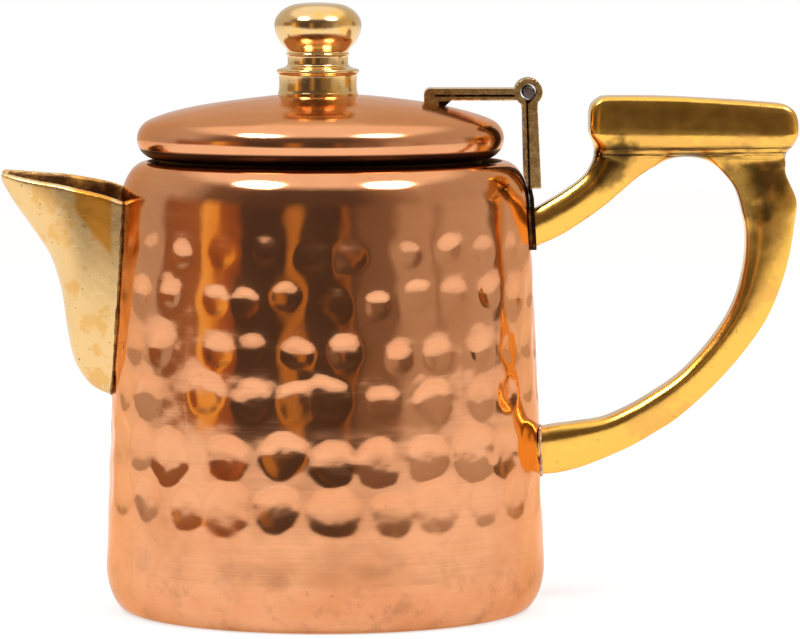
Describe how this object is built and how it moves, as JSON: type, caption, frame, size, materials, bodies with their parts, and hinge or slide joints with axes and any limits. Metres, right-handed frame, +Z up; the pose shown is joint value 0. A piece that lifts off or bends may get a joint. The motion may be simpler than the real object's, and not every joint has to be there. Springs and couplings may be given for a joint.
{
  "type": "lidded copper jug",
  "caption": "Small hammered copper jug with a tapering body, open brass spout, looped brass handle with a broad thumb rest, and a hinged domed lid with a turned brass knob.",
  "frame": {"origin": "centre of the flat base, on the body's axis", "axes": "+Z up, +X towards the handle and -X towards the spout, +Y across the body"},
  "size_m": [0.1592, 0.088, 0.1215],
  "materials": {
    "hammered_copper": "polished copper with rows of hammer marks",
    "lid_copper": "polished smooth copper with fine turning marks",
    "spout_brass": "cast brass, polished, faintly mottled",
    "handle_brass": "cast and turned brass, polished",
    "strap_brass": "dull, darkened brass strap",
    "fixing_brass": "plain brass"
  },
  "bodies": {
    "jug": {"body_shell": "hammered_copper", "spout": "spout_brass", "handle": "handle_brass", "hinge_body_leaf": "strap_brass", "hinge_pin": "fixing_brass"},
    "lid": {"lid_shell": "lid_copper", "lid_collar": "lid_copper", "knob": "handle_brass", "knob_screw": "fixing_brass", "knob_washer": "fixing_brass", "hinge_lid_leaf": "strap_brass"}
  },
  "joints": [
    {"name": "lid_hinge", "type": "hinge", "parent": "jug", "child": "lid", "pos_m": [0.0406, 0, 0.1037], "axis": [0, 1, 0], "range_deg": [0, 155]}
  ]
}
